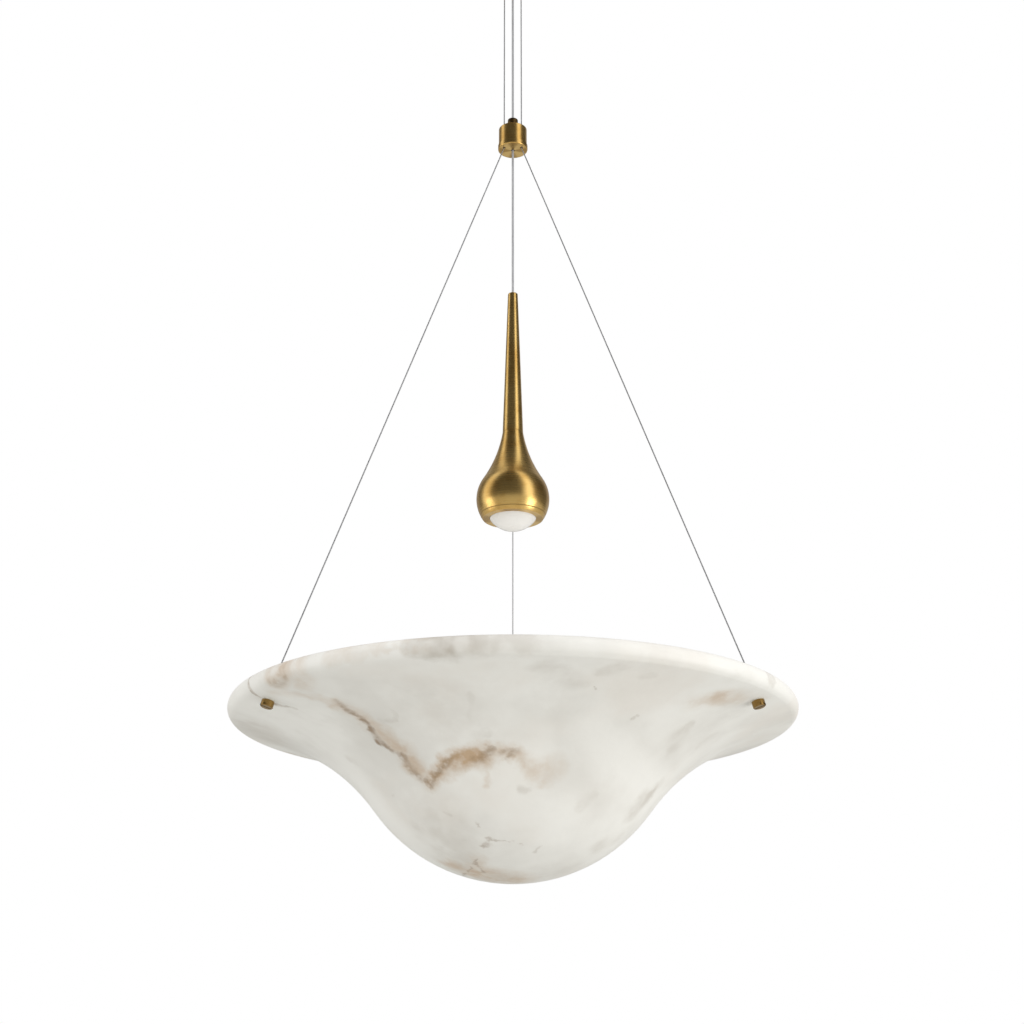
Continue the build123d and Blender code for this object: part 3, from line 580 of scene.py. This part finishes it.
dark_veins = [
    [(247.5, 683, 1.6, 0.6), (249, 687, 2.2, 0.7), (254, 693, 1.6, 0.6), (262, 698, 1.2, 0.4)],
    [(273, 704, 2.4, 0.6), (284, 707, 2.0, 0.5), (297, 709, 1.4, 0.25)],
    [(341, 704, 3.2, 0.4), (349, 710, 3.0, 0.6), (358, 716, 2.4, 0.7), (367, 723, 2.4, 0.7)]
    + [(373, 733, 2.8, 0.8), (379, 742, 2.6, 0.8), (392, 751, 2.0, 0.6), (402, 757, 2.2, 0.7)],
    [(402, 757, 2.4, 0.6), (410, 764, 3.0, 0.4), (415, 772, 4.0, 0.5), (419, 777, 3.5, 0.45)],
    [(425, 779, 3.0, 0.5), (430, 785, 3.2, 0.7), (434, 778, 4.5, 0.7), (439, 772, 4.5, 0.65)],
    [(443, 768, 4.5, 0.5), (449, 759, 5.0, 0.4), (458, 756, 4.0, 0.2)],
    [(474, 760, 4.0, 0.35), (481, 757, 4.5, 0.5), (487, 753, 4.5, 0.5), (492, 747, 3.5, 0.5)],
    [(500, 752, 4.0, 0.3), (508, 750, 5.0, 0.5), (514, 750, 5.0, 0.6), (509, 757, 4.0, 0.5)],
    [(275, 685, 3.5, 0.25), (286, 678, 3.0, 0.35)],
    [(476, 855, 1.6, 0.55), (474, 862, 1.5, 0.45), (469, 870, 1.3, 0.5), (464, 876, 1.2, 0.4)],
    [(476, 862, 1.5, 0.45), (480, 868, 1.3, 0.45), (483, 872, 1.3, 0.5)],
    [(484, 845, 3.0, 0.5), (490, 839, 2.0, 0.4), (500, 840, 1.3, 0.35), (522, 844, 1.0, 0.25)],
    [(473, 820, 1.4, 0.4), (478, 826, 1.4, 0.3)],
]
grey_marks_and_painted_shade = [
            [(383, 720, 3, 0.3), (397, 719, 4, 0.35), (393, 712, 3, 0.2)],
    [(469, 695, 7, 0.3), (470, 717, 6, 0.3)],
    [(476, 735, 8, 0.4), (488, 733, 6, 0.4)],
    [(545, 668, 9, 0.4), (562, 675, 9, 0.4), (578, 682, 8, 0.35)],
    [(600, 672, 4, 0.45), (618, 668, 6, 0.4)],
    [(646, 676, 3, 0.45), (652, 675, 3, 0.3)],
    [(597, 686, 1.2, 0.7), (598, 688, 1.2, 0.7)],
    [(634, 716, 1.5, 0.7), (636, 718, 1.5, 0.5)],
        [(674, 737, 7, 0.3), (689, 725, 4, 0.5), (675, 747, 5, 0.3)],
    [(704, 742, 5, 0.35), (712, 736, 4, 0.25)],
        [(582, 803, 6, 0.35), (594, 796, 4, 0.2)],
    [(634, 812, 6, 0.55), (642, 802, 7, 0.65), (652, 793, 5, 0.6), (660, 784, 4, 0.3)],
    [(768, 679, 3, 0.4), (774, 681, 3, 0.35)],
    [(522, 790, 5, 0.35), (528, 788, 4, 0.3)],
    [(445, 813, 2.5, 0.5), (450, 815, 2.5, 0.5)],
    [(418, 827, 5, 0.35), (424, 832, 4, 0.3)],
    [(436, 841, 4, 0.35), (446, 842, 4, 0.35), (464, 839, 3, 0.35)],
    [(392, 797, 2, 0.4), (396, 796, 2, 0.4)],
    [(350, 760, 3, 0.3), (354, 762, 3, 0.3)],
    [(533, 852, 2, 0.6), (538, 847, 1.5, 0.4)],
    [(603, 845, 7, 0.35), (612, 842, 6, 0.3)],
    # Painted shade: the next three wide, faint patches darken the lower belly, the middle below
    # the rim and the brim under the left screw.
    [(440, 815, 22, 0.3), (458, 862, 24, 0.45)],
    [(415, 700, 30, 0.18), (455, 715, 34, 0.25), (490, 722, 26, 0.15)],
    [(256, 726, 18, 0.4), (272, 740, 14, 0.3), (292, 750, 10, 0.1)],
    [(404, 650, 7, 0.3), (450, 642, 9, 1.0), (482, 639, 7, 0.5)],
    [(496, 640, 7, 0.45), (525, 640, 7, 0.35)],
    [(490, 876, 14, 0.5), (515, 880, 14, 0.4), (560, 872, 14, 0.2)],
]

# Painted light: pale patches where the belly is brighter in the light, given like the veins.
painted_light_patches = [
    [(590, 726, 26, 0.7), (640, 775, 32, 0.85), (655, 790, 20, 0.8)],
    [(668, 728, 20, 0.6), (690, 722, 16, 0.5)],
    [(346, 762, 12, 0.7), (366, 790, 14, 0.8), (400, 830, 14, 0.7)],
    [(520, 806, 24, 0.6), (560, 818, 26, 0.6)],
]

widest_per_pixel = 2.2 * mm


def vein_on_map(vein):
    """Each point of a vein on the bowl's map, with its width there.

    Near the rim a side ray can land on the far brim, so the width has a limit.
    """
    points = []
    for number, (across, down, half_width, depth) in enumerate(vein):
        before = Vector(vein[max(number - 1, 0)][:2])
        after = Vector(vein[min(number + 1, len(vein) - 1)][:2])
        side = (after - before).normalized().orthogonal() * half_width
        middle = stone_place(across, down)
        edges = [stone_place(across + s * side.x, down + s * side.y) for s in (-1, 1)]
        reach = max((edge - middle).length for edge in edges)
        width = min(reach, half_width * widest_per_pixel)
        points.append((middle, width, depth))
    return points


strokes_by_kind = {
    "soft": [vein_on_map(vein) for vein in soft_veins],
    "dark": [vein_on_map(vein) for vein in dark_veins],
    "grey": [vein_on_map(vein) for vein in grey_marks_and_painted_shade],
    "pale": [vein_on_map(cloud) for cloud in painted_light_patches],
}
print("vein points", {kind: sum(map(len, veins)) for kind, veins in strokes_by_kind.items()})

# %% How far a place is from a vein, as nodes
full_share = 0.15
faded_share = 1.5


def stroke(map_place, first, second):
    """How deep the colour is near one stretch of a vein."""
    (start, start_width, start_depth), (end, end_width, end_depth) = first, second
    run = end - start
    from_start = vector("SUBTRACT", map_place, start)
    share = vector("DOT_PRODUCT", from_start, run / run.length_squared, 1)
    share = share.add("ShaderNodeClamp", None, {"Value": share})
    away = vector("SUBTRACT", from_start, scaled(run, share))
    distance = vector("LENGTH", away, (0, 0, 0), 1)
    width = share * (end_width - start_width) + start_width
    depth = share * (end_depth - start_depth) + start_depth
    return soft_step(distance, width * full_share, width * faded_share, depth, 0.0)


def strokes(map_place, veins):
    """The deepest colour of many veins at a place."""
    deepest = None
    for vein in veins:
        for first, second in zip(vein, vein[1:]):
            here = stroke(map_place, first, second)
            deepest = here if deepest is None else here.math("MAXIMUM", deepest, here)
    return deepest


# %% The stone's finish
stone_bright = colour(248, 246, 240)
stone_grey = colour(231, 228, 221)
stone_warm = colour(240, 234, 225)
vein_tan = colour(201, 173, 141)
vein_brown = colour(140, 111, 79)
mark_and_shade_grey = colour(191, 182, 169)
noise_middle = (0.5, 0.5, 0.5)
drift_scale = 55
drift_reach = 0.020
fray_scale = 150
fray_reach = 0.005
cloud_scale = 5.5
haze_scale = 13
warmth_scale = 7
patch_scale = 34
blotch_scale = 55
speck_scale = 110
haze_place = (3.1, 1.7, 0.4)
warmth_place = (7.3, 2.9, 5.1)


def ridges(pattern, width):
    """Lines where a noise crosses its middle value: 1 on a line, 0 away from it."""
    away = (pattern - 0.5).math("ABSOLUTE", pattern - 0.5)
    return soft_step(away, 0.0, width, 1.0, 0.0)


# %% Veins where the picture shows none: the bowl's back half and its inside
front_edge = 0.02
back_edge = 0.12
lip_inside = 0.280
lip_top = 0.290
wander_reach = 0.05
course_scale = 3.2
course_place = (0.37, 0.11, 0.83)
region_scale = 4.0
region_place = (1.9, 0.2, 2.4)
soft_ridge = 0.030
dark_ridge = 0.007


def unseen_veins(place, y, radius, drift, blotch, speck):
    """Soft and dark vein colour where the camera doesn't look."""
    inside = soft_step(facing_up(place), 0.25, 0.6)
    inside = inside * soft_step(radius, lip_inside, lip_top, 0.8, 0.0)
    unseen = soft_step(y, front_edge, back_edge)
    unseen = unseen.math("MAXIMUM", unseen, inside)
    wander = vector("ADD", place, scaled(drift, wander_reach))
    course = noise(vector("ADD", wander, course_place), course_scale, 2, 0.45)
    region = noise(vector("ADD", place, region_place), region_scale, 2, 0.5)
    here = unseen * soft_step(region, 0.46, 0.58)
    soft = ridges(course, soft_ridge) * here * soft_step(blotch, 0.34, 0.62, 0.3, 0.9)
    dark = ridges(course, dark_ridge) * here * soft_step(speck, 0.42, 0.6, 0.0, 0.8)
    return soft, dark


# %% The stone, layer on layer
swell_scale = 28
swell_depth = 0.004


def alabaster(place):
    """White, grey and warm clouds, then painted light, then the grey marks and painted shade,
    then the tan and brown veins.
    """
    x, y, z = parts_of(place)
    squared = x * x + y * y + map_core**2
    radius = squared.math("SQRT", squared)
    factor = 1 + map_spread * (z - bowl_foot) / radius
    map_place = place.add("ShaderNodeCombineXYZ", None, {0: x * factor, 1: y * factor})

    drift = vector("SUBTRACT", noise(place, drift_scale, 3, 0.6, 1), noise_middle)
    fray = vector("SUBTRACT", noise(place, fray_scale, 2, 0.5, 1), noise_middle)
    bent = vector("ADD", map_place, scaled(drift, drift_reach))
    frayed = vector("ADD", bent, scaled(fray, fray_reach))

    cloud = noise(place, cloud_scale, 4, 0.55)
    haze = noise(vector("ADD", place, haze_place), haze_scale, 5, 0.6)
    warmth = noise(vector("ADD", place, warmth_place), warmth_scale, 4, 0.55)
    base = mix(stone_bright, stone_grey, soft_step(cloud, 0.44, 0.68))
    base = mix(base, stone_grey, soft_step(haze, 0.5, 0.72) * 0.6)
    base = mix(base, stone_warm, soft_step(warmth, 0.5, 0.7) * 0.6)

    # Painted light: pale patches brighten the stone's colour where the belly is most lit.
    pale = strokes(bent, strokes_by_kind["pale"])
    base = mix(base, stone_bright, pale)
    patchy = noise(place, patch_scale, 3, 0.5)
    # Grey marks in the stone, and in the wide faint patches painted shade.
    grey = strokes(bent, strokes_by_kind["grey"]) * soft_step(patchy, 0.3, 0.66, 0.3, 1.0)
    base = mix(base, mark_and_shade_grey, grey)

    blotch = noise(place, blotch_scale, 3, 0.55)
    speck = noise(place, speck_scale, 3, 0.55)
    soft = strokes(frayed, strokes_by_kind["soft"]) * soft_step(blotch, 0.34, 0.62, 0.5, 1.1)
    dark = strokes(frayed, strokes_by_kind["dark"]) * soft_step(speck, 0.34, 0.62, 0.45, 1.0)
    more_soft, more_dark = unseen_veins(place, y, radius, drift, blotch, speck)
    soft = soft.math("MAXIMUM", soft, more_soft)
    dark = dark.math("MAXIMUM", dark, more_dark)
    base = mix(base, vein_tan, soft)
    base = mix(base, vein_brown, dark)
    return {
        "Base Color": base,
        "Roughness": soft_step(haze, 0.3, 0.7, 0.42, 0.52),
        "Normal": bump(noise(place, swell_scale, 3, 0.5), swell_depth, 0.25),
    }


finishes = {"alabaster": finish("veined_alabaster", alabaster)}

# %% [markdown]
# The brass is turned on a lathe and then brushed round its axis. Its colour is its reflection,
# so what matters is a true brass tint, a satin roughness and fine lines that run round. The
# lines are noise that reads only the distance from the axis and the height. A faced end, such
# as the hub's underside, gets painted highlights: pale and dark wedges where its circular tool
# marks would catch the light. The drop's two joints get a thin line of painted shade.

# %% Brass finishes
brass_tint = colour(218, 182, 112)
brass_deep = colour(196, 154, 84)
brass_painted_highlight = colour(236, 204, 140)
brass_seam_shade = colour(70, 50, 24)
brass_dark = colour(120, 92, 52)
drop_joints = (-696.5 * mm, -795.8 * mm)
joint_width = 0.6 * mm
screws_from_axis = 0.2
wedge_count = 4
line_scale = 4200
polish_scale = 38
line_depth = 0.00002
line_roughness = (0.26, 0.31)


def brushed_brass(place):
    x, y, z = parts_of(place)
    squared = x * x + y * y
    radius = squared.math("SQRT", squared)
    rounds = {0: radius * line_scale, 1: 0.0, 2: z * line_scale}
    rounds = place.add("ShaderNodeCombineXYZ", None, rounds)
    lines = noise(rounds, 1.0, 2, 0.5)
    patches = noise(place, polish_scale, 4, 0.6)
    tint = mix(brass_deep, brass_tint, soft_step(patches, 0.3, 0.6))
    tint = mix(tint, brass_deep, soft_step(lines, 0.45, 0.75) * 0.08)
    # Painted highlights: pale and dark wedges round the axis on flat faced ends, where turned
    # faces would catch the light.
    upward = facing_up(place)
    flat = soft_step(upward * upward, 0.9, 0.98)
    round_angle = y.math("ARCTAN2", y, x) * wedge_count
    highlight_wedge = 0.5 - 0.5 * round_angle.math("COSINE", round_angle)
    painted_highlight_tint = mix(brass_dark, brass_painted_highlight, soft_step(highlight_wedge + patches * 0.4, 0.3, 1.0))
    tint = mix(tint, painted_highlight_tint, flat * 0.45)
    # Painted shade: a thin dark line along each of the drop's two joints.
    for joint in drop_joints:
        away = (z - joint).math("ABSOLUTE", z - joint)
        grime_and_shade = soft_step(away, joint_width * 0.5, joint_width, 0.3, 0.0)
        tint = mix(tint, brass_seam_shade, grime_and_shade)
    on_screws = soft_step(radius, 0.5 * screws_from_axis, screws_from_axis, 0.0, 0.75)
    tint = mix(tint, brass_dark, on_screws)
    return {
        "Base Color": tint,
        "Metallic": 1.0,
        "Roughness": soft_step(lines, 0.3, 0.7, *line_roughness),
        "Normal": bump(lines, line_depth, 0.04),
    }


def aged_brass(place):
    patches = noise(place, 240, 4, 0.6)
    return {
        "Base Color": mix(brass_dark, colour(70, 58, 38), soft_step(patches, 0.35, 0.65)),
        "Metallic": 1.0,
        "Roughness": soft_step(patches, 0.3, 0.7, 0.35, 0.55),
        "Normal": bump(patches, 0.0001, 0.4),
    }


finishes["brass"] = finish("brushed_brass", brushed_brass)
finishes["aged_brass"] = finish("aged_brass", aged_brass)

# %% [markdown]
# The ropes are bright steel, with painted shade in the valleys between the strands. Each rope's
# mesh holds how far out each point is, and the finish reads that. The cable's sheath is plain
# grey.

# %% Rope and cable finishes
steel_bright = colour(190, 190, 192)
steel_shadow = colour(112, 112, 116)


def steel_rope(place):
    strand = place.add("ShaderNodeAttribute", {"attribute_name": "strand"}, None, 2)
    grime_and_shade = noise(place, 300, 3, 0.6)
    # Painted shade: darker steel in the valleys between the strands.
    tint = mix(steel_shadow, steel_bright, soft_step(strand + grime_and_shade * 0.3, 0.15, 0.9))
    return {
        "Base Color": tint,
        "Metallic": 0.7,
        "Roughness": soft_step(grime_and_shade, 0.3, 0.7, 0.3, 0.45),
    }


def grey_sheath(place):
    grain = noise(stretched(place, 900, 900, 60), 1.0, 3, 0.6)
    share = soft_step(grain, 0.35, 0.65)
    return {
        "Base Color": mix(colour(186, 186, 188), colour(168, 168, 171), share),
        "Roughness": soft_step(grain, 0.3, 0.7, 0.42, 0.55),
        "Normal": bump(grain, 0.00003, 0.4),
    }


finishes["steel_rope"] = finish("steel_rope", steel_rope)
finishes["grey_cable"] = finish("grey_sheath", grey_sheath)

# %% [markdown]
# The rest is small and mostly hidden: zinc-plated screws, white paint, moulded plastics,
# rubber, aluminium and the lamp's board. Each still has its own grain and wear.

# %% Metal fittings


def zinc_plate(place):
    spangle = place.add("ShaderNodeTexVoronoi", None, {"Vector": place, "Scale": 900.0})
    cloud = noise(place, 260, 3, 0.6)
    share = soft_step(cloud, 0.35, 0.65)
    return {
        "Base Color": mix(colour(190, 192, 194), colour(162, 165, 168), share),
        "Metallic": 1.0,
        "Roughness": soft_step(spangle, 0.0, 0.9, 0.26, 0.4),
        "Normal": bump(cloud, 0.00005, 0.4),
    }


def white_paint(place):
    peel = noise(place, 700, 2, 0.5)
    dust = soft_step(noise(place, 40, 4, 0.6), 0.4, 0.7)
    return {
        "Base Color": mix(colour(236, 236, 233), colour(224, 223, 219), dust),
        "Roughness": soft_step(peel, 0.3, 0.7, 0.45, 0.58),
        "Normal": bump(peel, 0.00006, 0.4),
    }


def machined_aluminium(place):
    rings = noise(stretched(place, 40, 40, 4000), 1.0, 3, 0.6)
    share = soft_step(rings, 0.35, 0.65)
    return {
        "Base Color": mix(colour(196, 197, 200), colour(176, 177, 181), share),
        "Metallic": 1.0,
        "Roughness": soft_step(rings, 0.3, 0.7, 0.28, 0.4),
        "Normal": bump(rings, 0.00004, 0.4),
    }


finishes["zinc_steel"] = finish("zinc_plate", zinc_plate)
finishes["painted_steel"] = finish("white_paint", white_paint)
finishes["aluminium"] = finish("machined_aluminium", machined_aluminium)

# %% Plastics, rubber and the lamp's board


def moulded(light, dark, smooth, rough, grain_scale):
    """A moulded plastic or rubber: two close tints and a fine grain."""

    def sockets(place):
        grain = noise(place, grain_scale, 3, 0.6)
        tint = mix(colour(*light), colour(*dark), soft_step(noise(place, 60, 3, 0.6), 0.35, 0.7))
        return {
            "Base Color": tint,
            "Roughness": soft_step(grain, 0.3, 0.7, smooth, rough),
            "Normal": bump(grain, 0.00004, 0.4),
        }

    return sockets


# Each slot of the CAD model: a name, two tints, two roughnesses and the grain's scale.
mouldings = {
    "white_plastic": ("white_moulding", (233, 233, 231), (222, 222, 219), 0.4, 0.52, 900),
    "nylon": ("clear_nylon", (224, 221, 210), (212, 208, 196), 0.35, 0.48, 700),
    "lead_plastic": ("brown_sheath", (92, 66, 50), (78, 56, 43), 0.4, 0.5, 900),
    "rubber": ("black_rubber", (44, 44, 45), (34, 34, 35), 0.65, 0.8, 1200),
    "circuit_board": ("board_mask", (232, 233, 230), (222, 224, 220), 0.25, 0.35, 600),
    "led_phosphor": ("phosphor", (238, 206, 92), (226, 190, 76), 0.3, 0.45, 1500),
}
for slot, (name, *looks) in mouldings.items():
    finishes[slot] = finish(name, moulded(*looks))

# %% [markdown]
# The lens is opal acrylic, unlit. It looks like a smooth milky dome that is a shade darker
# towards its rim, because the light that enters there leaves through the brass.

# %% Opal lens
lens_middle = 0.012
lens_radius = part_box("opal_lens")[1].x


def opal_acrylic(place):
    x, y, z = parts_of(place)
    squared = x * x + y * y
    edge = soft_step(squared.math("SQRT", squared), lens_middle, lens_radius)
    haze = noise(place, 90, 3, 0.5)
    tint = mix(colour(247, 246, 244), colour(234, 232, 228), edge)
    tint = mix(tint, colour(240, 238, 235), soft_step(haze, 0.4, 0.7) * 0.4)
    return {
        "Base Color": tint,
        "Roughness": soft_step(haze, 0.3, 0.7, 0.2, 0.28),
    }


finishes["opal_acrylic"] = finish("opal_acrylic", opal_acrylic)

# %% [markdown]
# Each CAD node has one material slot, named after its finish in the record, so a loop can dress
# them all. The ropes, cables, thumb screws and springs were made here and get theirs by name.

# %% Put the finishes on the pieces
for node in nodes.values():
    slot = node.data.materials[0].name
    node.data.materials[0] = finishes[slot]
for rope in ropes:
    rope.data.materials.append(finishes["steel_rope"])
for cable in cables:
    cable.data.materials.append(finishes["grey_cable"])
thumb.data.materials.append(finishes["brass"])
for spring in springs:
    spring.data.materials[0] = finishes["zinc_steel"]
print("dressed", len(nodes), "nodes")

# %% [markdown]
# The studio is white all round for the camera. What the brass reflects is another matter: with
# white everywhere it would look like pale paste, so the glossy rays see a dark room with one
# tall soft light to the right, one to the left and two faint ones behind, as in a
# photographer's studio.

# %% Studio
floor_height = -3.0
floor_size = 60.0
right_panel = radians(52)
left_panel = radians(-92)
panel_half_width = radians(25)
back_panel = radians(150)
right_strength = 1.7
left_strength = 1.3
back_right_strength = 0.4
back_left_strength = 0.3
room_below = 0.14
room_above = 0.08
sky_left = 0.97
sky_right = 1.09
sky_below = 0.62
floor_tint = colour(199, 199, 196)
floor_glow = 0.93
lamp_size = 1.2
lamp_target = Vector((0, 0, -1.05))

world = bpy.data.worlds.new("studio")
bpy.context.scene.world = world
world.use_nodes = True
world.node_tree.nodes.clear()
sky = Shade(world.node_tree)
direction = sky.add("ShaderNodeTexCoord", None, None, 0)
side_x, side_y, side_z = parts_of(direction)
azimuth = side_x.math("ARCTAN2", side_x, side_y * -1)


def panel(middle, strength):
    """A tall soft light at one azimuth, 0 being the viewer's side."""
    turned = azimuth - middle
    offset = turned.add("ShaderNodeMath", {"operation": "WRAP"}, {0: turned, 1: pi, 2: -pi})
    away = offset.math("ABSOLUTE", offset)
    return soft_step(away, panel_half_width * 0.2, panel_half_width, strength, 0.0)


reflected = panel(right_panel, right_strength) + panel(left_panel, left_strength)
reflected = reflected + panel(back_panel, back_right_strength)
reflected = reflected + panel(-back_panel, back_left_strength)
reflected = reflected + soft_step(side_z, -1.0, 1.0, room_below, room_above)
around = soft_step(side_x, -1.0, 1.0, sky_left, sky_right)
around = around * soft_step(side_z, -1.0, 0.5, sky_below, 1.0)
is_camera = sky.add("ShaderNodeLightPath", None, None, 0)
is_glossy = sky.add("ShaderNodeLightPath", None, None, 3)
is_transmission = sky.add("ShaderNodeLightPath", None, None, 6)
light = around * (1 - is_glossy) + reflected * is_glossy
white = is_camera.math("MAXIMUM", is_camera, is_transmission)
light = light * (1 - white) + white
grey_light = light.add("ShaderNodeCombineColor", None, {0: light, 1: light, 2: light})
background = sky.add("ShaderNodeBackground", None, {0: grey_light, 1: 1.0})
sky.add("ShaderNodeOutputWorld", None, {0: background})

bpy.ops.mesh.primitive_plane_add(size=floor_size, location=(0, 0, floor_height))
floor = bpy.context.object
floor.name = "studio_floor"


def studio_floor():
    """A pale floor that the camera sees nearly white, with its soft shadow kept."""
    material = bpy.data.materials.new("pale_floor")
    material.use_nodes = True
    tree = material.node_tree
    tree.nodes.clear()
    start = Shade(tree)
    matt = start.add("ShaderNodeBsdfDiffuse", None, {0: floor_tint})
    glow = start.add("ShaderNodeEmission", None, {0: (1, 1, 1, 1), 1: 1.0})
    is_seen = start.add("ShaderNodeLightPath", None, None, 0)
    both = start.add("ShaderNodeMixShader", None, {0: is_seen * floor_glow, 1: matt, 2: glow})
    start.add("ShaderNodeOutputMaterial", None, {0: both})
    return material


floor.data.materials.append(studio_floor())


def soft_lamp(name, place, power):
    """A square soft light that faces the bowl."""
    bpy.ops.object.light_add(type="AREA", location=place)
    lamp = bpy.context.object
    lamp.name = name
    lamp.data.size = lamp_size
    lamp.data.energy = power
    lamp.rotation_euler = (lamp_target - Vector(place)).to_track_quat("-Z", "Y").to_euler()


soft_lamp("right_softbox", place=(2.4, -1.2, -1.7), power=22.0)
soft_lamp("left_softbox", place=(-2.6, -0.4, -1.4), power=9.0)
print("studio ready")
